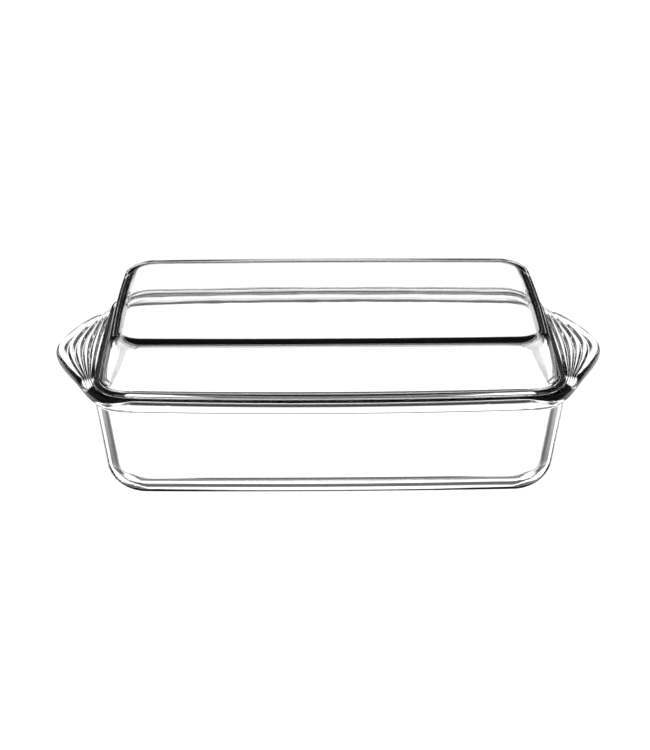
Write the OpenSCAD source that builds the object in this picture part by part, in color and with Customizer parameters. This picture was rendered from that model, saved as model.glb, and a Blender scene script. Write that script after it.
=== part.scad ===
// Covered loaf pan in pressed clear glass: a pan with two moulded grip handles, and a lid
// that rests on the pan's rim. Millimetres, +Z up, origin at the middle of the foot.

/* [Plan] */
// Length of the pan's rim, without the handles
rim_l = 264; // [245:1:280]
// Width of the pan's rim
rim_w = 160; // [148:1:172]
// Corner radius of the rim, seen from above
rim_corner_r = 20; // [17:1:24]
// How far the rim's long sides bow out at their middle
side_bow = 5.2; // [0:0.2:7]
// How far its short ends bow out at their middle
end_bow = 1.5; // [0:0.5:3]

/* [Pan] */
// Height of the rim, where the lid sits
pan_h = 64; // [54:1:74]
// Lean of the walls from the vertical, in degrees
pan_draft = 7; // [5:0.5:10]
// Thickness of the walls
wall_t = 5; // [4:0.5:6]
// Thickness of the floor
floor_t = 5.5; // [4.5:0.5:7]
// Outer radius between the walls and the floor
floor_fillet_r = 19; // [16:1:21]
// Depth of the shallow recess under the floor, which leaves a foot around it
foot_recess = 0.4; // [0.2:0.1:1]
// Height of the rounded bead around the rim
bead_h = 7.6; // [6.8:0.2:8.4]

/* [Handles] */
// Reach of each handle beyond the rim
handle_reach = 23; // [18:0.5:26]
// Thickness of the handles
handle_t = 4.6; // [4.6:0.1:5.6]
// Upward lean of the handles, in degrees; below zero they droop
handle_lean = -2; // [-5:0.5:4]
// Height of the grip ribs
rib_h = 1.1; // [0.6:0.1:1.4]

/* [Lid] */
// Height of the lid above the pan's rim
lid_h = 29.5; // [25:0.5:35]
// Lean of the lid's walls from the vertical, in degrees
lid_draft = 14; // [10:1:18]
// Thickness of the lid's walls and top
lid_t = 4.6; // [4:0.2:5.4]
// Outer radius between the lid's walls and its top
lid_fillet_r = 9; // [7:1:11]
// Width of the flange that rests on the pan's rim
flange_w = 3.8; // [3.4:0.2:5]
// Thickness of the flange
flange_t = 3.4; // [3.4:0.2:4.4]
// Depth of the ridge that keeps the lid from sliding off
ridge_h = 2.6; // [1.6:0.2:3.4]

/* [Hidden] */

glass_colour = [0.82, 0.9, 0.92, 0.5];

// Points around one quarter of an outline: along the short end, round the corner, along the side.
end_steps = 9;
corner_steps = 7;
side_steps = 5;
quarter_steps = end_steps + corner_steps + side_steps;
outline_steps = 4 * quarter_steps;

// Steps along the large and the small curves of a wall's section.
fillet_steps = 6;
edge_steps = 3;

// The outline's corner radius shrinks with the distance in from the rim, by this share of it.
corner_shrink = 0.5;
smallest_corner_r = 4;
// The long sides' bow shrinks with it too.
bow_fade = 0.2;

// Pan: the bead stands out from the wall, and the rim's inner edge is rounded.
bead_out = 2.8;
rim_edge_r = 1.2;
// The angle at which the bead's curve turns from its side to its top.
bead_turn = 22;
// The share of bead_out that the bead's curve covers before it leaves for the wall.
bead_meet = 0.95;
bead_root_z = 0.6;
foot_w = 11;
recess_edge_w = 2.5;

// Handles: seen from above the outline is a hyperbola of this slope and this nose.
handle_slope = 0.56;
handle_nose = 24;
// The distance over which the outline turns from the rim's into the handle's.
handle_blend = 3;
// The reach over which the round bead turns into the flat handle.
bead_fade = 9;
handle_edge_r = 2.3;
handle_root_r = 3.5;
handle_root_in = 1.2;
root_steps = 3;
handle_mid_share = 0.6;
// Each rib takes this share of the handle's reach, and this many steps.
rib_pitch = 0.2;
rib_steps = 4;
top_steps = rib_steps / rib_pitch;

// Lid: the gap lets the two pressed surfaces rest without binding.
seat_gap = 0.15;
// The flange's edge is a little inside the pan's rim.
lid_inset = 2.6;
flange_edge_r = 1.7;
flange_fillet_r = 1.6;
ridge_edge_r = 0.8;
ridge_clearance = 1.1;
least_ridge_w = 1.7;

/* ---- Sections: points are [distance in from the rim's outline, height] ---- */

function mix(a, b, share) = a + (b - a) * share;

function smooth(share) = share * share * (3 - 2 * share);

// Direction in a section. Angle 0 points out of the outline, and 90 up.
function heading(angle) = [-cos(angle), sin(angle)];

// The round that replaces a corner between two straight lines. It runs from one heading to the
// other, as seen from its centre.
function corner_round(corner, r, from, to, steps) =
    let (a = heading(from), b = heading(to), centre = corner - r * (a + b) / (1 + a * b))
    [for (k = [0 : steps]) centre + r * heading(mix(from, to, k / steps))];

/* ---- Outlines seen from above ---- */

// A quarter of a rounded rectangle, from the middle of its short end to that of its side.
function quarter_point(a, b, r, step) =
    step <= end_steps ? [a, (b - r) * step / end_steps] :
    step <= end_steps + corner_steps ?
        let (angle = 90 * (step - end_steps) / corner_steps)
        [a - r + r * cos(angle), b - r + r * sin(angle)] :
    [(a - r) * (quarter_steps - step) / side_steps, b];

// The same with the end and the side bowed out, to the half length a and the half width b.
function bowed_point(a, b, bow, r, step) =
    let (p = quarter_point(a - end_bow, b - bow, r, step),
         u = p[0] / (a - end_bow),
         v = p[1] / (b - bow))
    [p[0] + end_bow * u * (1 - v * v), p[1] + bow * v * (1 - u * u)];

// A point of the outline that lies inset inside the rim's.
function outline_point(inset, step) =
    let (quarter = floor(step / quarter_steps),
         along = step - quarter * quarter_steps,
         p = bowed_point(rim_l / 2 - inset, rim_w / 2 - inset, max(side_bow - bow_fade * inset, 0),
                         max(rim_corner_r - corner_shrink * inset, smallest_corner_r),
                         quarter % 2 == 1 ? quarter_steps - along : along))
    [quarter == 1 || quarter == 2 ? -p[0] : p[0], quarter >= 2 ? -p[1] : p[1]];

function ring(inset, z) =
    [for (step = [0 : outline_steps - 1]) concat(outline_point(inset, step), z)];

function rings(section) = [for (p = section) ring(p[0], p[1])];

/* ---- Handles ---- */

// Zero below -blend, x above blend, and a parabola between them.
function soft_ramp(x, blend) =
    x >= blend ? x : x <= -blend ? 0 : (x + blend) * (x + blend) / (4 * blend);

// How far the handle reaches beyond the rim at a distance y from the pan's middle.
function reach(y) =
    soft_ramp(handle_reach - handle_slope * (sqrt(y * y + handle_nose * handle_nose) - handle_nose),
              handle_blend);

// Height at a share of the reach: round ribs with sharp valleys, and a rise to the outer edge.
function rib(share) =
    share > 1 - rib_pitch ? rib_h * sin(90 * (share - 1 + rib_pitch) / rib_pitch) :
    rib_h * abs(sin(180 * share / rib_pitch));

// A ring that follows the bead where there is no handle, and the handle where there is one.
// bead is [inset, height], tab is [inset, share of the reach, height], and raised is how much of
// the ribs' height is added.
function grip_ring(bead, tab, raised = 0) =
    [for (step = [0 : outline_steps - 1])
        let (out = reach(outline_point(0, step)[1]),
             on_handle = smooth(min(1, out / bead_fade)),
             p = outline_point(mix(bead[0], tab[0], on_handle), step),
             side = abs(p[0]) > 1 ? sign(p[0]) : 0,
             rib_height = raised * rib(tab[1]) * min(1, 2 * out / handle_reach),
             tab_z = tab[2] + tab[1] * out * tan(handle_lean) + rib_height)
        [p[0] + side * tab[1] * out, p[1], mix(bead[1], tab_z, on_handle)]];

/* ---- Closed shells ---- */

// Joins rings of equal length into one closed solid, with a flat cap on the first and the last.
module loft(all_rings) {
    count = len(all_rings[0]);
    last = len(all_rings) - 1;
    sides = [for (k = [0 : last - 1]) for (i = [0 : count - 1])
        let (j = (i + 1) % count)
        [k * count + i, (k + 1) * count + i, (k + 1) * count + j, k * count + j]];
    first_cap = [for (i = [0 : count - 1]) i];
    last_cap = [for (i = [count - 1 : -1 : 0]) last * count + i];
    polyhedron([for (one = all_rings) each one], concat(sides, [first_cap], [last_cap]), 4);
}

/* ---- Pan ---- */

bead_r = bead_h / 2;
bead_foot = pan_h - bead_h;
// The bead's curve leaves the wall a little before it would meet it.
bead_from = -acos(1 - bead_meet * bead_out / bead_r);
handle_foot = pan_h - handle_t;
// Where the lines of the outer and the inner wall meet those of the foot and the floor.
outer_corner_in = bead_out + bead_foot * tan(pan_draft);
inner_corner_in = outer_corner_in + wall_t / cos(pan_draft) - floor_t * tan(pan_draft);
rim_top_in = inner_corner_in - (pan_h - floor_t) * tan(pan_draft);
foot_in = outer_corner_in + floor_fillet_r * tan((90 - pan_draft) / 2);

// Inset of the outer wall at a height.
function wall_in(z) = bead_out + (bead_foot - z) * tan(pan_draft);

// A point of the bead: angle 0 is its outermost, and 90 the top of the rim.
function bead_point(angle) = [bead_r, pan_h - bead_r] + bead_r * heading(angle);

// From the recess under the floor, over the foot and up the outer wall.
function pan_outside() = concat(
    [[foot_in + foot_w + recess_edge_w, foot_recess],
     [foot_in + foot_w, 0]],
    corner_round([outer_corner_in, 0], floor_fillet_r, -90, -pan_draft, fillet_steps));

// From the top of the rim down the inner wall to the floor.
function pan_inside() = concat(
    corner_round([rim_top_in, pan_h], rim_edge_r, 90, 180 - pan_draft, edge_steps),
    corner_round([inner_corner_in, floor_t], floor_fillet_r - wall_t, -pan_draft, -90, fillet_steps));

// Where the handle's underside, or the bead's, grows out of the wall.
function grip_root() = [for (k = [0 : root_steps])
    let (angle = 90 * k / root_steps,
         z = handle_foot - handle_root_r * (1 - sin(angle)),
         root = handle_root_r * (1 - cos(angle)) / handle_reach,
         bead_z = bead_foot - mix(handle_root_r, bead_root_z, k / root_steps))
    grip_ring([wall_in(bead_z), bead_z], [wall_in(z), root, z])];

// Out along the underside and round the outer edge.
function grip_edge() = concat(
    [grip_ring(bead_point(bead_from), [handle_edge_r, handle_mid_share, handle_foot])],
    [for (k = [0 : 2 * edge_steps])
        let (share = k / (2 * edge_steps),
             angle = mix(-90, 90, share),
             middle = mix(handle_foot + handle_edge_r, pan_h - handle_edge_r, share),
             edge = [handle_edge_r, middle] + handle_edge_r * heading(angle))
        grip_ring(bead_point(mix(bead_from, bead_turn, share)), [edge[0], 1, edge[1]], share)]);

// Back over the ribs to the top of the rim.
function grip_top() = [for (k = [top_steps - 1 : -1 : 0])
    let (share = k / top_steps)
    grip_ring(bead_point(mix(90, bead_turn, share)),
              [mix(handle_root_in, handle_edge_r, share), share, pan_h], 1)];

module pan() {
    color(glass_colour)
        loft(concat(rings(pan_outside()), grip_root(), grip_edge(), grip_top(), rings(pan_inside())));
}

/* ---- Lid ---- */

lid_foot = pan_h + seat_gap;
lid_top = pan_h + lid_h;
flange_top = lid_foot + flange_t;
ceiling = lid_top - lid_t;
// Where the wall's outer line meets the top of the flange, and the lid's top.
lid_wall_in = lid_inset + flange_w;
crown_in = lid_wall_in + (lid_top - flange_top) * tan(lid_draft);
// The ridge stands inside the pan's mouth.
ridge_foot = lid_foot - ridge_h;
ridge_in = rim_top_in + ridge_h * tan(pan_draft) + ridge_clearance;
ridge_inner_in = max(lid_inner_in(ridge_foot), ridge_in + least_ridge_w);

// Inset of the lid's inner wall at a height.
function lid_inner_in(z) = lid_wall_in + lid_t / cos(lid_draft) + (z - flange_top) * tan(lid_draft);

// From the ceiling down the inner wall, round the ridge and out under the flange.
function lid_inside() = concat(
    corner_round([lid_inner_in(ceiling), ceiling], lid_fillet_r - lid_t, 90, lid_draft, fillet_steps),
    corner_round([ridge_inner_in, ridge_foot], ridge_edge_r, 180 + lid_draft, 270, edge_steps),
    corner_round([ridge_in, ridge_foot], ridge_edge_r, 270, 360, edge_steps),
    [[ridge_in, lid_foot]]);

// Round the flange's edge, and up the outer wall to the top.
function lid_outside() = concat(
    corner_round([lid_inset, lid_foot], flange_edge_r, -90, 0, edge_steps),
    corner_round([lid_inset, flange_top], flange_edge_r, 0, 90, edge_steps),
    corner_round([lid_wall_in, flange_top], flange_fillet_r, -90, lid_draft - 180, edge_steps),
    corner_round([crown_in, lid_top], lid_fillet_r, lid_draft, 90, fillet_steps));

module lid() {
    color(glass_colour)
        loft(rings(concat(lid_inside(), lid_outside())));
}

pan();
lid();
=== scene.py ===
from math import acos, cos, degrees, pi, radians, sin, sqrt, tan

import bpy
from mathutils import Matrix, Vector


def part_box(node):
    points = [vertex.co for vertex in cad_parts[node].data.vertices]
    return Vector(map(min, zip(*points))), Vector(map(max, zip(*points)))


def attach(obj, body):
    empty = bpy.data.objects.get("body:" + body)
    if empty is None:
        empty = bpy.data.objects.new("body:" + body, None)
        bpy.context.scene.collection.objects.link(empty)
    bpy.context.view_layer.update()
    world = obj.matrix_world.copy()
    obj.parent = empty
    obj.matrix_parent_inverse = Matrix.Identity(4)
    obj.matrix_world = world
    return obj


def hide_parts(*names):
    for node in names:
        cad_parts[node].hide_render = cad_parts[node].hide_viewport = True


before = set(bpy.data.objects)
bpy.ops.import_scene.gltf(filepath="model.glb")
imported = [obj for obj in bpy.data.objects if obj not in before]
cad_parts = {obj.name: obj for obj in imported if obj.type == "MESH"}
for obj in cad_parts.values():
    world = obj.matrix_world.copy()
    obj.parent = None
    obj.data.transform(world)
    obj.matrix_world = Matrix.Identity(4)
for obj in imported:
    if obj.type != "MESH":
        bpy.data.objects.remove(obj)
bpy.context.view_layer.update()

MM = 0.001

# ---------------------------------------------------------------- dimensions, in millimetres

PAN_LOW, PAN_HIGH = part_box("pan")
LID_LOW, LID_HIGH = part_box("lid")

HALF_LENGTH = PAN_HIGH[0] / MM
RIM_HALF_W = PAN_HIGH[1] / MM
LID_TOP = LID_HIGH[2] / MM

HANDLE_REACH = 23.0
RIM_HALF_L = HALF_LENGTH - HANDLE_REACH
RIM_CORNER_R = 20.0
SIDE_BOW = 5.2
BOW_FADE = 0.2
END_BOW = 1.5
CORNER_SHRINK = 0.5
SMALLEST_CORNER_R = 4.0

PAN_H = 64.0
PAN_DRAFT = radians(7)
WALL_T = 5.0
FLOOR_T = 5.5
FLOOR_FILLET_R = 19.0
FOOT_W = 11.0
FOOT_RECESS = 0.4
RECESS_EDGE_W = 2.5
BEAD_R = 3.8
BEAD_OUT = 2.8
# The share of BEAD_OUT that the bead's curve covers before it leaves for the wall.
BEAD_MEET = 0.95
BEAD_FROM = -acos(1 - BEAD_MEET * BEAD_OUT / BEAD_R)
BEAD_TURN = radians(22)
BEAD_ROOT_Z = 0.6
RIM_EDGE_R = 1.2

HANDLE_T = 4.6
HANDLE_LEAN = radians(-2)
HANDLE_SLOPE = 0.56
HANDLE_NOSE = 24.0
HANDLE_BLEND = 3.0
HANDLE_EDGE_R = 2.3
HANDLE_ROOT_R = 3.5
HANDLE_ROOT_IN = 1.2
BEAD_FADE = 9.0
RIB_H = 1.1
RIB_PITCH = 0.2

SEAT_GAP = 0.15
LID_INSET = 2.6
LID_DRAFT = radians(14)
LID_T = 4.6
LID_FILLET_R = 9.0
FLANGE_W = 3.8
FLANGE_T = 3.4
FLANGE_EDGE_R = 1.7
FLANGE_FILLET_R = 1.6
RIDGE_H = 2.6
RIDGE_EDGE_R = 0.8
RIDGE_CLEARANCE = 1.1
RIDGE_W = 1.7

# Steps of the meshes: around a quarter of the outline, and along the section's curves.
END_STEPS = 40
CORNER_STEPS = 26
SIDE_STEPS = 30
BIG_ROUND_STEPS = 18
SMALL_ROUND_STEPS = 8
RIB_STEPS = 12

# ---------------------------------------------------------------- the shared shape functions


def mix(a, b, share):
    return a + (b - a) * share


def smooth(share):
    return share * share * (3 - 2 * share)


def heading(angle):
    """Direction in a section. Angle 0 points out of the outline, and 90 degrees up."""
    return (-cos(angle), sin(angle))


def corner_round(corner, r, start, end, steps):
    """The round between two straight lines that meet at corner, from one heading to the other."""
    start, end = radians(start), radians(end)
    a, b = heading(start), heading(end)
    scale = r / (1 + a[0] * b[0] + a[1] * b[1])
    centre = (corner[0] - scale * (a[0] + b[0]), corner[1] - scale * (a[1] + b[1]))
    points = []
    for k in range(steps + 1):
        way = heading(mix(start, end, k / steps))
        points.append((centre[0] + r * way[0], centre[1] + r * way[1]))
    return points


def with_support(section, longest=4.0, near=0.35):
    """Adds points to straight stretches, close to their ends and then evenly, for true normals."""
    points = [section[0]]
    for p, q in zip(section, section[1:]):
        length = sqrt((q[0] - p[0]) ** 2 + (q[1] - p[1]) ** 2)
        if length > 4 * near:
            count = max(1, round((length - 2 * near) / longest))
            places = [near + (length - 2 * near) * k / count for k in range(count + 1)]
            points += [(mix(p[0], q[0], d / length), mix(p[1], q[1], d / length)) for d in places]
        points.append(q)
    return points


def quarter_points(a, b, r):
    """A quarter of a rounded rectangle, from the middle of the short end to that of the side."""
    points = [(a, (b - r) * k / END_STEPS) for k in range(END_STEPS)]
    for k in range(CORNER_STEPS):
        angle = pi / 2 * k / CORNER_STEPS
        points.append((a - r + r * cos(angle), b - r + r * sin(angle)))
    points += [((a - r) * (1 - k / SIDE_STEPS), b) for k in range(SIDE_STEPS + 1)]
    return points


def outline(inset):
    """The closed outline that lies inset inside the rim's, with its ends and sides bowed out."""
    r = max(RIM_CORNER_R - CORNER_SHRINK * inset, SMALLEST_CORNER_R)
    a = RIM_HALF_L - inset - END_BOW
    bow = max(SIDE_BOW - BOW_FADE * inset, 0.0)
    b = RIM_HALF_W - inset - bow
    quarter = []
    for x, y in quarter_points(a, b, min(r, a, b)):
        u, v = x / a, y / b
        quarter.append((x + END_BOW * u * (1 - v * v), y + bow * v * (1 - u * u)))
    half = quarter + [(-x, y) for x, y in reversed(quarter[:-1])]
    return half + [(x, -y) for x, y in reversed(half[1:-1])]


def ring(inset, z):
    return [(x, y, z) for x, y in outline(inset)]


def rings(section):
    return [ring(inset, z) for inset, z in section]


def plate_rings(inset, z, deepest=70.0, step=6.0, near=0.5):
    """Flat rings that fill a plate inwards from its edge."""
    count = round((deepest - inset - near) / step)
    insets = [inset + near + (deepest - inset - near) * k / count for k in range(count + 1)]
    return [ring(one, z) for one in insets]


# ---------------------------------------------------------------- handles


def soft_ramp(x, blend):
    if x >= blend:
        return x
    return 0.0 if x <= -blend else (x + blend) ** 2 / (4 * blend)


def reach(y):
    """How far the handle reaches beyond the rim at a distance y from the middle."""
    nose = sqrt(y * y + HANDLE_NOSE ** 2) - HANDLE_NOSE
    return soft_ramp(HANDLE_REACH - HANDLE_SLOPE * nose, HANDLE_BLEND)


def rib(share):
    """Height at a share of the reach: round ribs with sharp valleys, and a step up to the edge."""
    last = 1 - RIB_PITCH
    if share > last:
        return RIB_H * sin(pi / 2 * (share - last) / RIB_PITCH)
    return RIB_H * abs(sin(pi * share / RIB_PITCH))


REACH = [reach(y) for x, y in outline(0)]


def grip_ring(bead, tab, raised=0.0):
    """A ring that follows the bead, or the handle where there is one.

    bead is (inset, height), tab is (inset, share of the reach, height), and raised is how much of
    the ribs' height is added.
    """
    points = []
    bead_outline, tab_outline = outline(bead[0]), outline(tab[0])
    for out, on_bead, on_tab in zip(REACH, bead_outline, tab_outline):
        on_handle = smooth(min(1.0, out / BEAD_FADE))
        x = mix(on_bead[0], on_tab[0], on_handle)
        y = mix(on_bead[1], on_tab[1], on_handle)
        side = 0 if abs(x) < 1 else (1 if x > 0 else -1)
        rib_height = raised * rib(tab[1]) * min(1.0, 2 * out / HANDLE_REACH)
        tab_z = tab[2] + tab[1] * out * tan(HANDLE_LEAN) + rib_height
        points.append((x + side * tab[1] * out, y, mix(bead[1], tab_z, on_handle)))
    return points


# ---------------------------------------------------------------- meshes


def closed_mesh(name, all_rings):
    """One closed shell from rings of equal length, capped at the first and the last."""
    count = len(all_rings[0])
    vertices = [tuple(c * MM for c in p) for one in all_rings for p in one]
    faces = []
    for k in range(len(all_rings) - 1):
        low, high = k * count, (k + 1) * count
        for i in range(count):
            j = (i + 1) % count
            faces.append((low + i, low + j, high + j, high + i))
    last = (len(all_rings) - 1) * count
    faces.append(tuple(reversed(range(count))))
    faces.append(tuple(range(last, last + count)))
    mesh = bpy.data.meshes.new(name)
    mesh.from_pydata(vertices, [], faces)
    mesh.validate()
    mesh.shade_smooth()
    piece = bpy.data.objects.new(name, mesh)
    bpy.context.scene.collection.objects.link(piece)
    return piece


BEAD_FOOT = PAN_H - 2 * BEAD_R
HANDLE_FOOT = PAN_H - HANDLE_T
OUTER_CORNER_IN = BEAD_OUT + BEAD_FOOT * tan(PAN_DRAFT)
INNER_CORNER_IN = OUTER_CORNER_IN + WALL_T / cos(PAN_DRAFT) - FLOOR_T * tan(PAN_DRAFT)
RIM_TOP_IN = INNER_CORNER_IN - (PAN_H - FLOOR_T) * tan(PAN_DRAFT)
FOOT_IN = OUTER_CORNER_IN + FLOOR_FILLET_R * tan((pi / 2 - PAN_DRAFT) / 2)


def wall_in(z):
    """Inset of the pan's outer wall at a height."""
    return BEAD_OUT + (BEAD_FOOT - z) * tan(PAN_DRAFT)


def bead_point(angle):
    way = heading(angle)
    return (BEAD_R + BEAD_R * way[0], PAN_H - BEAD_R + BEAD_R * way[1])


def pan_outside():
    draft = degrees(PAN_DRAFT)
    recess_in = FOOT_IN + FOOT_W + RECESS_EDGE_W
    section = [(recess_in, FOOT_RECESS), (FOOT_IN + FOOT_W, 0)]
    section += corner_round((OUTER_CORNER_IN, 0), FLOOR_FILLET_R, -90, -draft, BIG_ROUND_STEPS)
    top_z = BEAD_FOOT - HANDLE_ROOT_R - 2
    section.append((wall_in(top_z), top_z))
    return list(reversed(plate_rings(recess_in, FOOT_RECESS))) + rings(with_support(section))


def pan_inside():
    draft = degrees(PAN_DRAFT)
    section = corner_round((RIM_TOP_IN, PAN_H), RIM_EDGE_R, 90, 180 - draft, SMALL_ROUND_STEPS)
    section += corner_round((INNER_CORNER_IN, FLOOR_T), FLOOR_FILLET_R - WALL_T,
                            -draft, -90, BIG_ROUND_STEPS)
    return rings(with_support(section)) + plate_rings(section[-1][0], FLOOR_T)


def grip_root():
    """Where the underside of the handle, or of the bead, grows out of the wall."""
    built = []
    for k in range(SMALL_ROUND_STEPS + 1):
        angle = pi / 2 * k / SMALL_ROUND_STEPS
        z = HANDLE_FOOT - HANDLE_ROOT_R * (1 - sin(angle))
        root = HANDLE_ROOT_R * (1 - cos(angle)) / HANDLE_REACH
        bead_z = BEAD_FOOT - mix(HANDLE_ROOT_R, BEAD_ROOT_Z, k / SMALL_ROUND_STEPS)
        built.append(grip_ring((wall_in(bead_z), bead_z), (wall_in(z), root, z)))
    return built


def grip_edge():
    """Out along the underside, and round the outer edge."""
    start = HANDLE_ROOT_R / HANDLE_REACH
    under_in = wall_in(HANDLE_FOOT)
    built = []
    for share in (0.2, 0.4, 0.6, 0.8, 0.95):
        tab = (mix(under_in, HANDLE_EDGE_R, share), mix(start, 1, share), HANDLE_FOOT)
        wall_z = BEAD_FOOT - BEAD_ROOT_Z
        foot = bead_point(BEAD_FROM)
        bead = (mix(wall_in(wall_z), foot[0], share), mix(wall_z, foot[1], share))
        built.append(grip_ring(bead, tab))
    steps = 2 * SMALL_ROUND_STEPS
    for k in range(steps + 1):
        share = k / steps
        way = heading(mix(-pi / 2, pi / 2, share))
        middle = mix(HANDLE_FOOT + HANDLE_EDGE_R, PAN_H - HANDLE_EDGE_R, share)
        tab = (HANDLE_EDGE_R + HANDLE_EDGE_R * way[0], 1, middle + HANDLE_EDGE_R * way[1])
        built.append(grip_ring(bead_point(mix(BEAD_FROM, BEAD_TURN, share)), tab, raised=share))
    return built


def grip_top():
    """Back over the ribs to the top of the rim."""
    steps = round(RIB_STEPS / RIB_PITCH)
    built = []
    for k in range(steps - 1, -1, -1):
        share = k / steps
        tab = (mix(HANDLE_ROOT_IN, HANDLE_EDGE_R, share), share, PAN_H)
        built.append(grip_ring(bead_point(mix(pi / 2, BEAD_TURN, share)), tab, raised=1.0))
    return built


def make_pan():
    grip = grip_root() + grip_edge() + grip_top()
    return closed_mesh("glass_pan", pan_outside() + grip + pan_inside())


LID_FOOT = PAN_H + SEAT_GAP
FLANGE_TOP = LID_FOOT + FLANGE_T
CEILING = LID_TOP - LID_T
LID_WALL_IN = LID_INSET + FLANGE_W
CROWN_IN = LID_WALL_IN + (LID_TOP - FLANGE_TOP) * tan(LID_DRAFT)
RIDGE_FOOT = LID_FOOT - RIDGE_H
RIDGE_IN = RIM_TOP_IN + RIDGE_H * tan(PAN_DRAFT) + RIDGE_CLEARANCE


def lid_inner_in(z):
    """Inset of the lid's inner wall at a height."""
    return LID_WALL_IN + LID_T / cos(LID_DRAFT) + (z - FLANGE_TOP) * tan(LID_DRAFT)


def make_lid():
    draft = degrees(LID_DRAFT)
    small, big = SMALL_ROUND_STEPS, BIG_ROUND_STEPS
    section = corner_round((lid_inner_in(CEILING), CEILING), LID_FILLET_R - LID_T, 90, draft, big)
    ridge_inner_in = max(lid_inner_in(RIDGE_FOOT), RIDGE_IN + RIDGE_W)
    section += corner_round((ridge_inner_in, RIDGE_FOOT), RIDGE_EDGE_R, 180 + draft, 270, small)
    section += corner_round((RIDGE_IN, RIDGE_FOOT), RIDGE_EDGE_R, 270, 360, small)
    section.append((RIDGE_IN, LID_FOOT))
    section += corner_round((LID_INSET, LID_FOOT), FLANGE_EDGE_R, -90, 0, small)
    section += corner_round((LID_INSET, FLANGE_TOP), FLANGE_EDGE_R, 0, 90, small)
    section += corner_round((LID_WALL_IN, FLANGE_TOP), FLANGE_FILLET_R, -90, draft - 180, small)
    section += corner_round((CROWN_IN, LID_TOP), LID_FILLET_R, draft, 90, big)
    under = list(reversed(plate_rings(section[0][0], CEILING)))
    over = plate_rings(section[-1][0], LID_TOP)
    return closed_mesh("glass_lid", under + rings(with_support(section)) + over)


# ---------------------------------------------------------------- materials

GLASS_TINT = (0.985, 0.99, 0.988, 1)
GLASS_IOR = 1.474
# Faint ripples of pressed glass: their scale, strength and depth, and the roughest spot.
RIPPLE_SCALE = 45.0
RIPPLE_STRENGTH = 0.12
RIPPLE_DEPTH = 0.0004
ROUGHEST = 0.03


def glass(name):
    material = bpy.data.materials.new(name)
    material.use_nodes = True
    nodes, links = material.node_tree.nodes, material.node_tree.links
    shader = nodes["Principled BSDF"]
    shader.inputs["Base Color"].default_value = GLASS_TINT
    shader.inputs["Transmission Weight"].default_value = 1.0
    shader.inputs["IOR"].default_value = GLASS_IOR
    place = nodes.new("ShaderNodeTexCoord")
    waves = nodes.new("ShaderNodeTexNoise")
    waves.inputs["Scale"].default_value = RIPPLE_SCALE
    waves.inputs["Detail"].default_value = 1.0
    links.new(place.outputs["Object"], waves.inputs["Vector"])
    bump = nodes.new("ShaderNodeBump")
    bump.inputs["Strength"].default_value = RIPPLE_STRENGTH
    bump.inputs["Distance"].default_value = RIPPLE_DEPTH
    links.new(waves.outputs["Fac"], bump.inputs["Height"])
    links.new(bump.outputs["Normal"], shader.inputs["Normal"])
    film = nodes.new("ShaderNodeMapRange")
    film.inputs["To Min"].default_value = 0.0
    film.inputs["To Max"].default_value = ROUGHEST
    links.new(waves.outputs["Fac"], film.inputs["Value"])
    links.new(film.outputs["Result"], shader.inputs["Roughness"])
    return material


# ---------------------------------------------------------------- stage

# The light all round, the share of it that comes from the front, and how far round that fades.
PANEL_LIGHT = 1.6
FRONT_SHARE = 0.8
FRONT_FADE = 20

FLOOR_SIZE = 16
FLOOR_DROP = 0.0002

CAMERA_ELEVATION = radians(24)
CAMERA_AZIMUTH = radians(-0.8)
CAMERA_DISTANCE = 1.06
CAMERA_AIM = Vector((-0.002, 0, 0.045))
CAMERA_LENS = 88.5


def make_floor():
    """A white floor that only the camera sees, so the glass shows the light round it instead."""
    bpy.ops.mesh.primitive_plane_add(size=FLOOR_SIZE, location=(0, 0, PAN_LOW[2] - FLOOR_DROP))
    floor = bpy.context.object
    floor.name = "studio_floor"
    material = bpy.data.materials.new("pale_floor")
    material.use_nodes = True
    shader = material.node_tree.nodes["Principled BSDF"]
    shader.inputs["Base Color"].default_value = (0.9, 0.9, 0.9, 1)
    shader.inputs["Roughness"].default_value = 1.0
    shader.inputs["Specular IOR Level"].default_value = 0.0
    shader.inputs["Emission Color"].default_value = (1, 1, 1, 1)
    shader.inputs["Emission Strength"].default_value = 1.0
    floor.data.materials.append(material)
    floor.visible_diffuse = False
    floor.visible_glossy = False
    floor.visible_transmission = False
    floor.visible_shadow = False


# Black cards that draw dark lines in the glass. Each spans angles off the line from front to back,
# then angles above the horizon, with how far its edges fade and how much of the light it takes.
CARDS = (
    ((39, 76), (-48, -28), 5, 0.97),
    ((13, 32), (-17, 20), 4, 0.96),
    ((-40, 40), (-71, -42), 5, 0.97),
    ((-40, 40), (-8, 120), 7, 0.93),
    ((30, 120), (4, 120), 8, 0.9),
)


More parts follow.
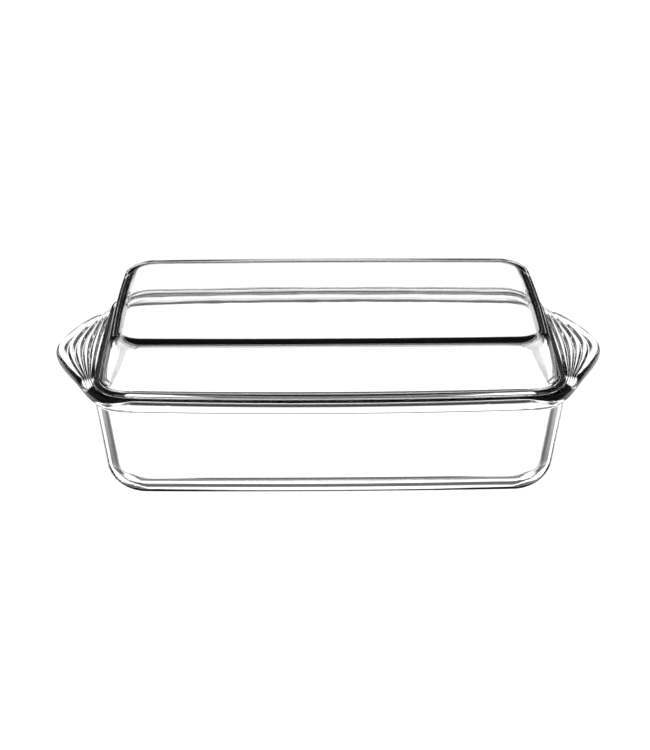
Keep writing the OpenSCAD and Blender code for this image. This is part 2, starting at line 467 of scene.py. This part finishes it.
def make_world():
    """Soft light from all round, with black cards behind and in front of the glass."""
    world = bpy.data.worlds.new("studio")
    world.use_nodes = True
    nodes, links = world.node_tree.nodes, world.node_tree.links

    def maths(operation, *values):
        node = nodes.new("ShaderNodeMath")
        node.operation = operation
        for socket, value in zip(node.inputs, values):
            if isinstance(value, (int, float)):
                socket.default_value = value
            else:
                links.new(value, socket)
        return node.outputs["Value"]

    def fade(value, start, end):
        node = nodes.new("ShaderNodeMapRange")
        node.interpolation_type = "SMOOTHSTEP"
        links.new(value, node.inputs["Value"])
        node.inputs["From Min"].default_value = radians(start)
        node.inputs["From Max"].default_value = radians(end)
        return node.outputs["Result"]

    def within(value, span, soft):
        start, end = span
        rise = fade(value, start - soft, start + soft)
        return maths("MULTIPLY", rise, maths("SUBTRACT", 1.0, fade(value, end - soft, end + soft)))

    place = nodes.new("ShaderNodeTexCoord")
    split = nodes.new("ShaderNodeSeparateXYZ")
    links.new(place.outputs["Generated"], split.inputs["Vector"])
    x, y = (maths("ABSOLUTE", split.outputs[axis]) for axis in "XY")
    aside = maths("ARCTAN2", x, y)
    above = maths("ARCSINE", split.outputs["Z"])
    light = PANEL_LIGHT
    for around, upward, soft, taken in CARDS:
        card = maths("MULTIPLY", within(aside, around, soft), within(above, upward, soft))
        light = maths("MULTIPLY", maths("SUBTRACT", 1.0, maths("MULTIPLY", card, taken)), light)
    behind = fade(split.outputs["Y"], -FRONT_FADE, FRONT_FADE)
    light = maths("MULTIPLY", light, maths("MULTIPLY_ADD", behind, 1 - FRONT_SHARE, FRONT_SHARE))
    path = nodes.new("ShaderNodeLightPath")
    seen = maths("MAXIMUM", light, path.outputs["Is Camera Ray"])
    links.new(seen, nodes["Background"].inputs["Strength"])
    nodes["Background"].inputs["Color"].default_value = (1, 1, 1, 1)
    bpy.context.scene.world = world


def make_camera():
    level = cos(CAMERA_ELEVATION)
    x, y = level * sin(CAMERA_AZIMUTH), -level * cos(CAMERA_AZIMUTH)
    away = Vector((x, y, sin(CAMERA_ELEVATION)))
    data = bpy.data.cameras.new("camera")
    data.lens = CAMERA_LENS
    camera = bpy.data.objects.new("camera", data)
    camera.location = CAMERA_AIM + CAMERA_DISTANCE * away
    camera.rotation_euler = (-away).to_track_quat("-Z", "Y").to_euler()
    bpy.context.scene.collection.objects.link(camera)
    bpy.context.scene.camera = camera


# ---------------------------------------------------------------- the object

for name, make in (("pan", make_pan), ("lid", make_lid)):
    piece = make()
    piece.data.materials.append(glass(name + "_glass"))
    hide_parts(name)
    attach(piece, name)

make_floor()
make_world()
make_camera()
bpy.context.scene.view_settings.view_transform = "Standard"
